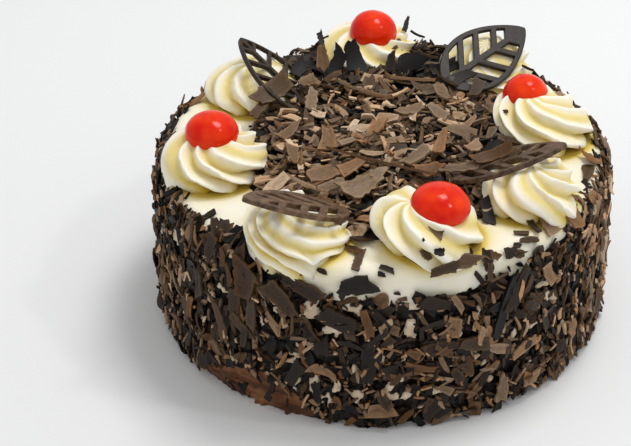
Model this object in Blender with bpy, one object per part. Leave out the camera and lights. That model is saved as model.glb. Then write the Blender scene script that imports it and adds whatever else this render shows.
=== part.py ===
"""Black forest cake, 20 cm: a cream-coated round with chocolate shavings on its side and in a
heap on top, ringed by eight piped cream rosettes that carry four red cherries and four
chocolate leaves in turn. Metres, +Z up, origin at the centre of the underside."""

import math
import random

import bpy
from mathutils import Euler, Matrix, Vector

MM = 0.001
GAP = 0.3 * MM  # air between two pieces that touch

# The cake: a straight wall with a tucked foot and a rounded top edge.
CAKE_HEIGHT = 75.0 * MM
WALL_RADIUS = 93.5 * MM
FOOT_TUCK = 2.0 * MM
FOOT_HEIGHT = 12 * MM
EDGE_RADIUS = 6.0 * MM
CAKE_SEGMENTS = 60

# The coat of shavings on the side.
COAT_RADIUS = 100.0 * MM  # the furthest that any shaving stands out
COAT_THICKNESS = 5.0 * MM
COAT_ROUGHNESS = 1.5 * MM
COAT_LIP = 1.8 * MM  # thickness at the coat's upper edge
COAT_FOOT = 4.0 * MM  # thickness where it meets the plate
COAT_LIP_ROUGHNESS = 0.3 * MM
COAT_UPPER_EDGE = 72.0 * MM
COAT_FRONT_DIP = 7.0 * MM  # how much lower the shavings stop at the front
COAT_FRONT = 275  # direction in degrees of the lowest place
COAT_ROWS = 7

# The heap of shavings inside the ring of rosettes.
HEAP_RADIUS = 57.0 * MM
HEAP_CORE = 46.0 * MM  # the part that clears every rosette
HEAP_HEIGHT = 10.5 * MM
HEAP_FALL = 0.5  # of its height that it has lost at its radius
HEAP_DRIFT = 3.0 * MM  # how much higher it is banked up against the rear rosette
HEAP_ROUGHNESS = 1.0 * MM
HEAP_CLEARANCE = 1.2 * MM  # kept to each rosette's foot
HEAP_RINGS = 5
HEAP_SEGMENTS = 48

# Each rosette: direction in degrees round the cake from +X, distance of its centre from the
# axis, widest radius, height and direction of its first ridge. Seen from above they run
# anticlockwise, starting at the left.
ROSETTES = {
    1: (196.0, 71.8, 22.5, 17.8, 10),
    2: (246.6, 77.6, 20.6, 14.6, 22),
    3: (286.2, 73.8, 21.5, 18.0, 4),
    4: (323.6, 74.8, 20.2, 18.0, 30),
    5: (6.6, 71.4, 20.8, 20.0, 16),
    6: (50.6, 73.4, 21.0, 19.2, 0),
    7: (96.0, 73.2, 22.4, 17.4, 12),
    8: (144.6, 70.8, 20.4, 17.2, 26),
}
# How each was piped: ridges, radians that they wind for each radian that the dome bends, depth
# of the grooves as a share of the radius, how pointed it is, and how far its peak leans, in mm.
PIPING = {
    1: (9, 0.90, 0.155, 0.75, (0, 0)),
    2: (10, 1.30, 0.10, 0.70, (-7, 3)),
    3: (7, 0.60, 0.14, 0.72, (-9, -1)),
    4: (9, 0.85, 0.15, 0.75, (0, 0)),
    5: (8, 1.00, 0.155, 0.75, (-8, 1.5)),
    6: (9, 0.95, 0.15, 0.75, (0, 0)),
    7: (9, 0.95, 0.10, 0.60, (3, -1)),
    8: (8, 0.70, 0.13, 0.95, (3, 1)),
}
POINTS_PER_RIDGE = 4
ROSETTE_ROWS = 6
ROSETTE_SKIRT = 4.5 * MM  # how far its foot can run down over the cake's rounded edge
ROSETTE_FOOT_ANGLE = 38  # degrees below the widest place at which the foot ends
ROSETTE_LEAN_CURVE = 1.3  # above 1 keeps the foot in place while the peak leans

# How far the heap runs out between a rosette and the next one anticlockwise.
HEAP_REACH = {1: 64, 2: 72, 3: 70, 4: 60, 5: 62, 6: 84, 7: 82, 8: 57}

# Each cherry sits in the rosette of the same number: centre, half width, half height, and
# the tilt of its upright axis to the right and to the front, in degrees.
CHERRIES = {
    1: ((-69.6, -17.8, 92.0), 11.3, 8.8, (2, 0)),
    3: ((22.9, -71.0, 90.8), 12.0, 8.0, (8, 4)),
    5: ((61.1, 15.2, 90.0), 10.2, 10.0, (-6, 0)),
    7: ((-3.8, 71.2, 91.8), 10.8, 9.7, (0, 0)),
}
CHERRY_SEGMENTS = 16
CHERRY_RINGS = 8

# Each leaf lies on the rosette of the same number with its tip outwards: centre, direction of
# the tip, its rise, and the roll about its midrib, in degrees.
LEAVES = {
    2: ((-33.4, -71.0, 90.8), 213.0, 25.0, 6.0),
    4: ((50.4, -37.4, 90.0), -7.0, 21.9, -10.5),
    6: ((45.3, 49.4, 91.2), 43.0, 10.0, 31.0),
    8: ((-44.2, 33.4, 89.0), 141.7, 27.5, 13.4),
}
LEAF_LENGTH = 51.0 * MM
LEAF_WIDTH = 28.5 * MM
LEAF_THICKNESS = 2.2 * MM
LEAF_BED_HEADROOM = 24 * MM
LEAF_RIM = 2.4 * MM
LEAF_MIDRIB = 2.8 * MM
LEAF_VEIN = 2.6 * MM
LEAF_VEIN_ANGLE = 50  # degrees between a side vein and the midrib
LEAF_VEIN_STARTS = (2.0, 11.0, 20.5, 31.5, 40.0)  # along the midrib from the base, in mm
LEAF_POINTS = 13  # down each side
LEAF_BLUNTNESS = 0.80  # below 1 moves the widest place towards the base
LEAF_FULLNESS = 0.72


def material(name, colour, roughness):
    made = bpy.data.materials.new(name)
    made.use_nodes = True
    shader = made.node_tree.nodes["Principled BSDF"]
    shader.inputs["Base Color"].default_value = (*colour, 1)
    shader.inputs["Roughness"].default_value = roughness
    return made


def mesh_object(name, points, faces, finish):
    mesh = bpy.data.meshes.new(name)
    mesh.from_pydata(points, [], faces)
    mesh.shade_smooth()
    mesh.set_sharp_from_angle(angle=math.radians(40))
    made = bpy.data.objects.new(name, mesh)
    made.data.materials.append(finish)
    bpy.context.collection.objects.link(made)
    return made


def as_cutter(made):
    made.hide_render = True
    made.display_type = "WIRE"
    return made


def cut(made, cutter):
    modifier = made.modifiers.new("cut_" + cutter.name, "BOOLEAN")
    modifier.operation = "DIFFERENCE"
    modifier.solver = "EXACT"
    modifier.object = cutter


def ring_faces(rows, segments):
    """Quads between successive rings of points, facing out when the rings run upwards."""
    faces = []
    for row in range(rows - 1):
        low, high = row * segments, (row + 1) * segments
        for i in range(segments):
            j = (i + 1) % segments
            faces.append((low + i, low + j, high + j, high + i))
    return faces


def on_circle(radius, degrees, z):
    angle = math.radians(degrees)
    return Vector((radius * math.cos(angle), radius * math.sin(angle), z))


def wall_radius(z):
    """The cream wall's radius at a height, with the foot tucked in and the edge rounded."""
    if z < FOOT_HEIGHT:
        return WALL_RADIUS - FOOT_TUCK * (1 - z / FOOT_HEIGHT) ** 2
    straight = CAKE_HEIGHT - EDGE_RADIUS
    if z <= straight:
        return WALL_RADIUS
    rise = min(1, (z - straight) / EDGE_RADIUS)
    return WALL_RADIUS - EDGE_RADIUS * (1 - math.sqrt(1 - rise * rise))


def cake_heights():
    """Rows up the wall, close together where the profile curves."""
    straight = CAKE_HEIGHT - EDGE_RADIUS
    foot = [FOOT_HEIGHT * k / 2 for k in range(3)]
    edge = [straight + EDGE_RADIUS * math.sin(math.radians(a)) for a in (0, 30, 60, 90)]
    return foot + edge


def make_cake(name, extra, finish):
    """The cream-coated round; grown by extra, it is the cutter for what stands on it."""
    heights = cake_heights()
    points = []
    for z in heights:
        for i in range(CAKE_SEGMENTS):
            radius = wall_radius(z) + extra
            points.append(on_circle(radius, 360 * i / CAKE_SEGMENTS, z + extra))
    faces = ring_faces(len(heights), CAKE_SEGMENTS)
    top = (len(heights) - 1) * CAKE_SEGMENTS
    faces.append(tuple(reversed(range(CAKE_SEGMENTS))))
    faces.append(tuple(range(top, top + CAKE_SEGMENTS)))
    return mesh_object(name, points, faces, finish)


def coat_upper_edge(degrees):
    """Height to which the shavings climb, in waves: onto the rounded edge, but not in front."""
    angle = math.radians(degrees)
    facing_front = max(0, math.cos(angle - math.radians(COAT_FRONT)))
    wave = 0.8 * math.sin(3 * angle + 0.6) + 0.6 * math.sin(8 * angle)
    return COAT_UPPER_EDGE - COAT_FRONT_DIP * facing_front**3 + wave * MM


def coat_inner_heights(upper_edge):
    """Heights of the coat's inner rows, downwards, which bend with the cake's wall."""
    below_edge = min(upper_edge - 1.5 * MM, CAKE_HEIGHT - EDGE_RADIUS)
    on_edge = (upper_edge + below_edge) / 2
    return [upper_edge, on_edge, below_edge, FOOT_HEIGHT, FOOT_HEIGHT / 2, GAP]


def coat_thickness(row, rng):
    """The shavings stand out unevenly, and less at the foot and the upper edge."""
    if row in (0, COAT_ROWS - 1):
        thickness = COAT_LIP if row else COAT_FOOT
        return thickness + rng.uniform(-1, 1) * COAT_LIP_ROUGHNESS
    return COAT_THICKNESS + rng.uniform(-1, 1) * COAT_ROUGHNESS


def make_side_shavings(finish):
    rng = random.Random(11)
    directions = [360 * i / CAKE_SEGMENTS for i in range(CAKE_SEGMENTS)]
    points = []
    for row in range(COAT_ROWS):
        for degrees in directions:
            z = GAP + (coat_upper_edge(degrees) - GAP) * row / (COAT_ROWS - 1)
            radius = min(COAT_RADIUS, wall_radius(z) + GAP + coat_thickness(row, rng))
            if row == COAT_ROWS // 2 and degrees % 90 == 0:
                radius = COAT_RADIUS
            points.append(on_circle(radius, degrees, z))
    inner = [coat_inner_heights(coat_upper_edge(degrees)) for degrees in directions]
    for heights in zip(*inner):
        for degrees, z in zip(directions, heights):
            points.append(on_circle(wall_radius(z) + GAP, degrees, z))
    rows = len(points) // CAKE_SEGMENTS
    faces = ring_faces(rows, CAKE_SEGMENTS)
    last = (rows - 1) * CAKE_SEGMENTS
    for i in range(CAKE_SEGMENTS):
        j = (i + 1) % CAKE_SEGMENTS
        faces.append((last + i, last + j, j, i))
    return mesh_object("side_shavings", points, faces, finish)


def rosette_centre(number):
    degrees, distance = ROSETTES[number][:2]
    return on_circle(distance * MM, degrees, CAKE_HEIGHT)


def rosette_profile(row, radius, height, pointed):
    """Bend, radius and height of one row, from the foot up to just under the peak."""
    low = math.radians(-ROSETTE_FOOT_ANGLE)
    bend = low + (math.pi / 2 - low) * row / ROSETTE_ROWS
    rise = (math.sin(bend) - math.sin(low)) / (1 - math.sin(low))
    return bend, radius * math.cos(bend) ** pointed, height * rise


def make_rosette(number, finish):
    degrees, distance, radius, height, first = ROSETTES[number]
    ridges, winding, hollow, pointed, lean = PIPING[number]
    segments = ridges * POINTS_PER_RIDGE
    points = []
    for row in range(ROSETTE_ROWS):
        bend, row_radius, z = rosette_profile(row, radius * MM, height * MM, pointed)
        turn = first - winding * (math.degrees(bend) + ROSETTE_FOOT_ANGLE)
        depth = hollow * min(1, max(0, row_radius / (radius * MM) / 0.5 - 0.4))
        shift = Vector((*lean, 0)) * MM * (z / (height * MM)) ** ROSETTE_LEAN_CURVE
        for i in range(segments):
            crest = 0.5 + 0.5 * math.cos(2 * math.pi * i / POINTS_PER_RIDGE)
            groove = depth * (1 - crest**0.7)
            ring_radius = row_radius * (1 - groove)
            points.append(on_circle(ring_radius, turn + 360 * i / segments, z) + shift)
    skirt = [point - Vector((0, 0, ROSETTE_SKIRT)) for point in points[:segments]]
    points = skirt + points
    faces = ring_faces(ROSETTE_ROWS + 1, segments)
    foot, peak = len(points), len(points) + 1
    points += [Vector((0, 0, -ROSETTE_SKIRT)), Vector((*lean, height)) * MM]
    top = ROSETTE_ROWS * segments
    for i in range(segments):
        j = (i + 1) % segments
        faces.append((j, i, foot))
        faces.append((top + i, top + j, peak))
    made = mesh_object(f"rosette_{number}", points, faces, finish)
    made.location = rosette_centre(number)
    return made


def heap_outline(degrees):
    """Radius of the heap in one direction: it fills the ring and runs out between rosettes."""
    before = min(ROSETTES, key=lambda number: (degrees - ROSETTES[number][0]) % 360)
    radius = HEAP_REACH[before] * MM
    for number, (_, _, rosette_radius, _, _) in ROSETTES.items():
        keep = rosette_radius * MM + HEAP_CLEARANCE
        centre = rosette_centre(number)
        along = centre.dot(on_circle(1, degrees, 0))
        across = centre.xy.length_squared - along**2
        if along > 0 and across < keep**2:
            radius = min(radius, along - math.sqrt(keep**2 - across))
    return radius


def make_top_shavings(finish):
    rng = random.Random(5)
    points = []
    base = CAKE_HEIGHT + GAP
    for ring in range(HEAP_RINGS):
        part = 1 - ring / HEAP_RINGS
        for i in range(HEAP_SEGMENTS):
            degrees = 360 * i / HEAP_SEGMENTS
            outline = heap_outline(degrees)
            # The outline's corners fade out towards the middle.
            radius = part * (HEAP_CORE + (outline - HEAP_CORE) * part**2)
            height = 0
            if ring:
                radius += 0.10 * HEAP_CORE
                full = 1 - HEAP_FALL * min(1, radius / HEAP_RADIUS) ** 3
                height = HEAP_HEIGHT * full + rng.uniform(-1, 1) * HEAP_ROUGHNESS
                rearwards = max(0, math.sin(math.radians(degrees)))
                height += HEAP_DRIFT * rearwards**4 * min(1, radius / HEAP_CORE) ** 2
            points.append(on_circle(radius, degrees, base + height))
    faces = ring_faces(HEAP_RINGS, HEAP_SEGMENTS)
    foot, peak = len(points), len(points) + 1
    points += [Vector((0, 0, base)), Vector((0, 0, base + HEAP_HEIGHT))]
    top = (HEAP_RINGS - 1) * HEAP_SEGMENTS
    for i in range(HEAP_SEGMENTS):
        j = (i + 1) % HEAP_SEGMENTS
        faces.append((j, i, foot))
        faces.append((top + i, top + j, peak))
    return mesh_object("top_shavings", points, faces, finish)


def make_cherry(name, number, extra, finish):
    """An upright ellipsoid, tilted; the cutter for its socket is larger by extra all round."""
    centre, half_width, half_height, (right, front) = CHERRIES[number]
    points = [Vector((0, 0, -half_height * MM - extra))]
    for ring in range(1, CHERRY_RINGS):
        angle = math.pi * (ring / CHERRY_RINGS - 0.5)
        for i in range(CHERRY_SEGMENTS):
            radius = (half_width * MM + extra) * math.cos(angle)
            z = (half_height * MM + extra) * math.sin(angle)
            points.append(on_circle(radius, 360 * i / CHERRY_SEGMENTS, z))
    points.append(Vector((0, 0, half_height * MM + extra)))
    rows = CHERRY_RINGS - 1
    faces = [tuple(k + 1 for k in face) for face in ring_faces(rows, CHERRY_SEGMENTS)]
    top = 1 + (rows - 1) * CHERRY_SEGMENTS
    for i in range(CHERRY_SEGMENTS):
        j = (i + 1) % CHERRY_SEGMENTS
        faces.append((1 + j, 1 + i, 0))
        faces.append((top + i, top + j, len(points) - 1))
    made = mesh_object(name, points, faces, finish)
    made.location = Vector(centre) * MM
    made.rotation_euler = Euler((math.radians(front), math.radians(right), 0))
    return made


def leaf_half_width(along, extra=0.0):
    """Half of the leaf's width at a distance from its base; widest nearer the base."""
    part = min(1, max(0, (along + extra) / (LEAF_LENGTH + 2 * extra)))
    if part in (0, 1):
        return 0.0
    full = LEAF_WIDTH / 2 + extra
    return full * math.sin(math.pi * part**LEAF_BLUNTNESS) ** LEAF_FULLNESS


def leaf_outline(extra=0.0):
    """The leaf's edge, anticlockwise from its base, grown by extra."""
    sides = []
    for i in range(1, LEAF_POINTS):
        turn = math.pi * i / LEAF_POINTS
        along = (LEAF_LENGTH + 2 * extra) * (1 - math.cos(turn)) / 2 - extra
        sides.append((along, leaf_half_width(along, extra)))
    right = [(along, -half) for along, half in sides]
    left = [(along, half) for along, half in reversed(sides)]
    return [(-extra, 0.0), *right, (LEAF_LENGTH + extra, 0.0), *left]


def along_vein(start, shift, distance):
    """A point on the edge of a side vein that leaves the midrib at start."""
    angle = math.radians(LEAF_VEIN_ANGLE)
    foot = start * MM + shift / math.sin(angle)
    return foot + distance / math.tan(angle), distance


def vein_end(start, shift):
    """How far out from the midrib the edge of a vein meets the inside of the rim."""
    low, high = 0.0, LEAF_WIDTH / 2
    for _ in range(40):
        middle = (low + high) / 2
        along, out = along_vein(start, shift, middle)
        if out < leaf_half_width(along) - LEAF_RIM:
            low = middle
        else:
            high = middle
    return low


def leaf_window(start, following):
    """The opening between two side veins, the midrib and the rim, on the left of the midrib."""
    inner = LEAF_MIDRIB / 2
    near, far = LEAF_VEIN / 2, -LEAF_VEIN / 2
    near_end, far_end = vein_end(start, near), vein_end(following, far)
    near_out = along_vein(start, near, near_end)
    far_out = along_vein(following, far, far_end)
    corners = [along_vein(start, near, inner), along_vein(following, far, inner), far_out]
    for part in (2 / 3, 1 / 3):
        along = near_out[0] + (far_out[0] - near_out[0]) * part
        corners.append((along, leaf_half_width(along) - LEAF_RIM))
    return [*corners, near_out]


def leaf_windows():
    """The openings between the side veins, on the left of the midrib."""
    starts = LEAF_VEIN_STARTS
    return [leaf_window(a, b) for a, b in zip(starts, starts[1:])]


def leaf_matrix(number):
    centre, degrees, rise, roll = LEAVES[number]
    turn = Matrix.Rotation(math.radians(degrees), 4, "Z")
    lift = Matrix.Rotation(-math.radians(rise), 4, "Y")
    rolled = Matrix.Rotation(math.radians(roll), 4, "X")
    half = Matrix.Translation((-LEAF_LENGTH / 2, 0, 0))
    return Matrix.Translation(Vector(centre) * MM) @ turn @ lift @ rolled @ half


def make_leaf(name, number, extra, windows, finish):
    """The flat lattice leaf. Without windows and grown by extra it is the cutter for the bed
    that it has pressed into the cream, open upwards."""
    headroom = 0 if windows else LEAF_BED_HEADROOM
    curve = bpy.data.curves.new(name, "CURVE")
    curve.dimensions = "2D"
    curve.fill_mode = "BOTH"
    curve.extrude = (LEAF_THICKNESS + headroom) / 2 + extra
    loops = [leaf_outline(extra)]
    for window in windows:
        loops.append(window)
        loops.append([(along, -out) for along, out in reversed(window)])
    for loop in loops:
        spline = curve.splines.new("POLY")
        spline.points.add(len(loop) - 1)
        for point, (along, out) in zip(spline.points, loop):
            point.co = (along, out, 0, 1)
        spline.use_cyclic_u = True
    curve.materials.append(finish)
    made = bpy.data.objects.new(name, curve)
    made.matrix_world = leaf_matrix(number) @ Matrix.Translation((0, 0, headroom / 2))
    bpy.context.collection.objects.link(made)
    return made


def solid_copy(made):
    """The mesh of a curve object, which a Boolean needs as its cutter."""
    mesh = bpy.data.meshes.new_from_object(made)
    copy = bpy.data.objects.new(made.name, mesh)
    copy.matrix_world = made.matrix_world
    bpy.context.collection.objects.link(copy)
    bpy.data.objects.remove(made)
    return copy


def build():
    for old in list(bpy.data.objects):
        bpy.data.objects.remove(old)
    cream = material("whipped_cream", (0.85, 0.78, 0.62), 0.45)
    chocolate = material("dark_chocolate", (0.08, 0.045, 0.027), 0.5)
    glace = material("glace_cherry", (0.70, 0.02, 0.008), 0.12)
    make_cake("cake", 0, cream)
    seat = as_cutter(make_cake("seat", GAP, cream))
    make_side_shavings(chocolate)
    heap = make_top_shavings(chocolate)
    rosettes = {number: make_rosette(number, cream) for number in ROSETTES}
    for rosette in rosettes.values():
        cut(rosette, seat)
    for number in CHERRIES:
        make_cherry(f"cherry_{number}", number, 0, glace)
        socket = as_cutter(make_cherry(f"socket_{number}", number, GAP * 1.2, cream))
        cut(rosettes[number], socket)
    for number in LEAVES:
        make_leaf(f"leaf_{number}", number, 0, leaf_windows(), chocolate)
        bed = make_leaf(f"bed_{number}", number, GAP * 1.2, [], chocolate)
        bed = as_cutter(solid_copy(bed))
        cut(rosettes[number], bed)
        cut(heap, bed)


build()
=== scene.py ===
"""The looks of a black forest cake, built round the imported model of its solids."""

import math

import bpy
import numpy as np
from mathutils import Euler, Matrix, Vector, noise


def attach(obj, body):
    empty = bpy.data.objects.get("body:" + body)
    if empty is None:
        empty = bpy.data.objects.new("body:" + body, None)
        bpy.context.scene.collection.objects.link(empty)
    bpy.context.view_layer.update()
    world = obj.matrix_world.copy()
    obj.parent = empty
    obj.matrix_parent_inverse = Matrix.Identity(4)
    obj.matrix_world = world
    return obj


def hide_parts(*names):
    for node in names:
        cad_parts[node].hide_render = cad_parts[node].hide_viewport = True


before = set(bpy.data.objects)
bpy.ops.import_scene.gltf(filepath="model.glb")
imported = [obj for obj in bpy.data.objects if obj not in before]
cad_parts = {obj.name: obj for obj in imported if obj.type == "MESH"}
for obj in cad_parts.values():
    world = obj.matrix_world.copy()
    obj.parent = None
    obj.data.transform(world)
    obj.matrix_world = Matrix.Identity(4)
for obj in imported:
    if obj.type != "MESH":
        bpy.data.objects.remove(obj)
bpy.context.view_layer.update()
MM = 0.001


# THE CREAM-COATED ROUND
# A sponge round spread all over with whipped cream, about 75 mm high. The cream is drawn
# smooth with a palette knife, and the wall is dusted with the chocolate pressed into it, painted
# near black under the shavings as the shade in the gaps between them.

CAKE_HEIGHT = 75.0 * MM
WALL_RADIUS = 93.5 * MM
FOOT_TUCK = 2.0 * MM
FOOT_HEIGHT = 12.0 * MM
EDGE_RADIUS = 6.0 * MM

# How far up the wall, round the edge and in over the top the shavings reach, in mm from the
# foot, at directions in degrees. They stop low in front, and run in over the top at the left.
COAT_EDGE = {
    0: 76, 30: 76, 60: 79, 90: 79, 120: 78, 150: 76, 180: 76, 205: 75, 222: 78, 231: 84,
    239: 79, 246: 71, 256: 66, 268: 63, 280: 65, 292: 67, 304: 65, 314: 71, 330: 75, 345: 77,
}

# Each rosette: direction in degrees round the cake from +X, distance of its centre from the
# axis, widest radius, height and direction of its first ridge, as in the solids.
ROSETTES = {
    1: (196.0, 71.8, 22.5, 17.8, 10),
    2: (246.6, 77.6, 20.6, 14.6, 22),
    3: (286.2, 73.8, 21.5, 18.0, 4),
    4: (323.6, 74.8, 20.2, 18.0, 30),
    5: (6.6, 71.4, 20.8, 20.0, 16),
    6: (50.6, 73.4, 21.0, 19.2, 0),
    7: (96.0, 73.2, 22.4, 17.4, 12),
    8: (144.6, 70.8, 20.4, 17.2, 26),
}


def linear(code):
    """An sRGB hex colour as linear red, green, blue and alpha."""
    channels = [int(code[i : i + 2], 16) / 255 for i in (0, 2, 4)]
    return (*(c / 12.92 if c <= 0.04045 else ((c + 0.055) / 1.055) ** 2.4 for c in channels), 1)


def add(material, kind, inputs=(), stops=(), **settings):
    """Adds a node. An input takes a value or another node's output; stops fill a colour ramp,
    its two ends first."""
    made = material.node_tree.nodes.new("ShaderNode" + kind)
    for name, value in settings.items():
        setattr(made, name, value)
    for name, value in dict(inputs).items():
        if isinstance(value, bpy.types.NodeSocket):
            material.node_tree.links.new(value, made.inputs[name])
        else:
            made.inputs[name].default_value = value
    for number, (place, code) in enumerate(stops):
        ramp = made.color_ramp.elements
        stop = ramp[number] if number < 2 else ramp.new(place)
        stop.position, stop.color = place, linear(code)
    return made


def empty_material(name):
    material = bpy.data.materials.new(name)
    material.use_nodes = True
    material.node_tree.nodes.clear()
    return material


def piece(name, points, faces, material, slot, replaced=(), sharp=None, **values):
    """A mesh that rides on the cake, with a number or a vector at each point for its material."""
    mesh = bpy.data.meshes.new(name)
    mesh.from_pydata(np.asarray(points), [], faces if isinstance(faces, list) else faces.tolist())
    mesh.shade_smooth()
    if sharp:
        mesh.set_sharp_from_angle(angle=math.radians(sharp))
    for label, numbers in values.items():
        numbers = np.asarray(numbers, np.float32)
        kind, field = ("FLOAT", "value") if numbers.ndim == 1 else ("FLOAT_VECTOR", "vector")
        mesh.attributes.new(label, kind, "POINT").data.foreach_set(field, numbers.ravel())
    mesh.materials.append(material)
    made = bpy.data.objects.new(name, mesh)
    bpy.context.collection.objects.link(made)
    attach(made, "root")
    if replaced:
        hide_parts(*replaced)
    return made


def ring_quads(rows, columns):
    """Quads between closed rings of points, facing out when the rings run upwards."""
    row, column = np.meshgrid(np.arange(rows - 1), np.arange(columns), indexing="ij")
    here, beside = row * columns + column, row * columns + (column + 1) % columns
    quads = np.stack([here, beside, beside + columns, here + columns], -1)
    return quads.reshape(-1, 4)


def lumps(points, size, seed):
    """Smooth unevenness from -1 to 1 at each point, with lumps of about that size."""
    shift = Vector((17.3, 7.1, 3.7)) * seed
    return np.array([noise.noise(Vector(point) / size + shift) for point in points])


def cylinder(radius, angle, z):
    """Points from arrays of radius, angle and height."""
    return np.stack([radius * np.cos(angle), radius * np.sin(angle), z + 0 * radius], -1)


def top_height(radius):
    """Height of the cream at a distance from the axis: flat, then over the rounded edge."""
    over = np.clip(radius - (WALL_RADIUS - EDGE_RADIUS), 0, EDGE_RADIUS * 0.999)
    return CAKE_HEIGHT - EDGE_RADIUS + np.sqrt(EDGE_RADIUS**2 - over**2)


def coat_edge(angle):
    """How far from the foot, up the wall and over the edge, the shavings reach."""
    known = np.radians(list(COAT_EDGE))
    reach = np.interp(angle % (2 * math.pi), known, list(COAT_EDGE.values()), period=2 * math.pi)
    return (reach + 1.2 * np.sin(11 * angle) + 0.8 * np.sin(23 * angle + 1)) * MM


STRAIGHT = CAKE_HEIGHT - EDGE_RADIUS
EDGE_ARC = EDGE_RADIUS * math.pi / 2


def over_wall(climb):
    """Radius and height on the bare cake, and the slope of its surface, at a distance climbed
    from the foot: up the wall, round the edge, then in over the top."""
    turn = np.clip((climb - STRAIGHT) / EDGE_RADIUS, 0, math.pi / 2)
    inwards = np.maximum(0, climb - STRAIGHT - EDGE_ARC)
    tucked = FOOT_TUCK * np.clip(1 - climb / FOOT_HEIGHT, 0, 1) ** 2
    radius = WALL_RADIUS - tucked - EDGE_RADIUS * (1 - np.cos(turn)) - inwards
    return radius, np.minimum(climb, STRAIGHT) + EDGE_RADIUS * np.sin(turn), turn


# The larger places at the front where the cream shows: direction in degrees, distance up the
# wall, width and height.
BARE_PATCHES = [
    (253, 55, 9, 10), (258, 47, 10, 7), (264, 57, 11, 7), (253, 18, 4, 10), (256, 13, 9, 4),
    (259, 19, 4, 10), (249, 32, 8, 4), (264, 15, 5, 8), (261, 34, 3, 8), (244, 52, 4, 8),
    (240, 44, 3, 7), (224, 43, 8, 5), (209, 59, 12, 9), (212, 43, 9, 8), (272, 20, 8, 5),
    (283, 66, 9, 7), (277, 48, 7, 13), (289, 64, 10, 5), (275, 15, 15, 5), (313, 53, 16, 4),
    (295, 38, 5, 8), (281, 9, 9, 4), (270, 33, 4, 6), (286, 20, 6, 3), (246, 40, 4, 3),
]


def bare_cream(points):
    """Above zero where the cream shows through the shavings on the side."""
    fine = lumps(points, 2.5 * MM, 5)
    bare = lumps(points, 6 * MM, 4) + 0.5 * fine - 0.42
    degrees = np.degrees(np.arctan2(points[:, 1], points[:, 0])) % 360
    for direction, climb, wide, tall in BARE_PATCHES:
        across = np.radians(degrees - direction) * WALL_RADIUS / (wide / 2 * MM)
        up = (points[:, 2] - climb * MM) / (tall / 2 * MM)
        patch = 0.55 * (0.7 - across**2 - up**2) + 0.6 * fine
        bare = np.where(across**2 + up**2 < 2, np.maximum(bare, patch), bare)
    return bare


def smeared(angle, climb):
    """1 at the front left of the foot, where the shavings were wiped off to a brown smear."""
    known = np.radians([212, 220, 231, 240, 246, 252, 258])
    upper = np.interp(angle % (2 * math.pi), known, [0, 9, 15, 19, 16, 8, 0]) * MM
    return np.clip((upper - climb) / (3 * MM), 0, 1)


def rosette_centre(number):
    degrees, distance = ROSETTES[number][:2]
    angle = math.radians(degrees)
    return np.array([math.cos(angle), math.sin(angle)]) * distance * MM


# Whipped cream: full-fat cream with sugar, beaten to soft peaks. It is ivory, glows a little
# because light enters it, and has a soft fatty sheen. Painted shade turns it buttery yellow in
# its hollows and creases, rubbed tints it with smeared chocolate, and chocolate dust, near
# black, buries it under fine crumbs and paints the shade in the gaps between the shavings.
whipped_cream = empty_material("whipped_cream")
fold = add(whipped_cream, "Attribute", attribute_name="fold")
dust = add(whipped_cream, "Attribute", attribute_name="dust")
rubbed = add(whipped_cream, "Attribute", attribute_name="rubbed")
rubbing = add(
    whipped_cream, "MapRange", {"Value": rubbed.outputs["Fac"], "From Max": 0.4, "To Max": 1.0}
)
place = add(whipped_cream, "TexCoord")
mottle = add(
    whipped_cream,
    "TexNoise",
    {"Vector": place.outputs["Object"], "Scale": 90.0, "Detail": 3.0, "Roughness": 0.6},
)
# Painted shade: the cream goes from ivory to deep yellow as the painted shade of its hollows and
# creases deepens.
folds = add(
    whipped_cream,
    "ValToRGB",
    {"Fac": fold.outputs["Fac"]},
    stops=[(0.0, "F7F2E4"), (1.0, "C09C1C"), (0.3, "EFE3B8"), (0.65, "DCC564")],
)
smear = add(
    whipped_cream,
    "ValToRGB",
    {"Fac": rubbed.outputs["Fac"]},
    stops=[(0.2, "E2CDB0"), (1.0, "32190A"), (0.5, "8A5A34"), (0.75, "5A3317")],
)
smeared_cream = add(
    whipped_cream,
    "Mix",
    {0: rubbing.outputs["Result"], 6: folds.outputs["Color"], 7: smear.outputs["Color"]},
    data_type="RGBA",
)
mottled_dust = add(
    whipped_cream,
    "Math",
    {0: mottle.outputs["Fac"], 1: 0.5, 2: dust.outputs["Fac"]},
    operation="MULTIPLY_ADD",
)
# Painted shade: where the wall is covered, its colour goes to near-black chocolate dust, standing
# for the shadow in the gaps between the shavings.
cover = add(
    whipped_cream,
    "MapRange",
    {"Value": mottled_dust.outputs["Value"], "From Min": 0.62, "From Max": 0.82},
)
cream_colour = add(
    whipped_cream,
    "Mix",
    {0: cover.outputs["Result"], 6: smeared_cream.outputs[2], 7: linear("120C07")},
    data_type="RGBA",
)
grain = add(
    whipped_cream,
    "TexNoise",
    {"Vector": place.outputs["Object"], "Scale": 900.0, "Detail": 2.0},
)
cream_bump = add(
    whipped_cream,
    "Bump",
    {"Height": grain.outputs["Fac"], "Strength": 0.12, "Distance": 0.3 * MM},
)
cream_shader = add(
    whipped_cream,
    "BsdfPrincipled",
    {
        "Base Color": cream_colour.outputs[2],
        "Roughness": 0.55,
        "IOR": 1.42,
        "Specular IOR Level": 0.35,
        "Subsurface Weight": 0.3,
        "Subsurface Radius": (1.0, 0.85, 0.35),
        "Subsurface Scale": 2.0 * MM,
        "Normal": cream_bump.outputs["Normal"],
    },
)
add(whipped_cream, "OutputMaterial", {"Surface": cream_shader.outputs["BSDF"]})

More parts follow.
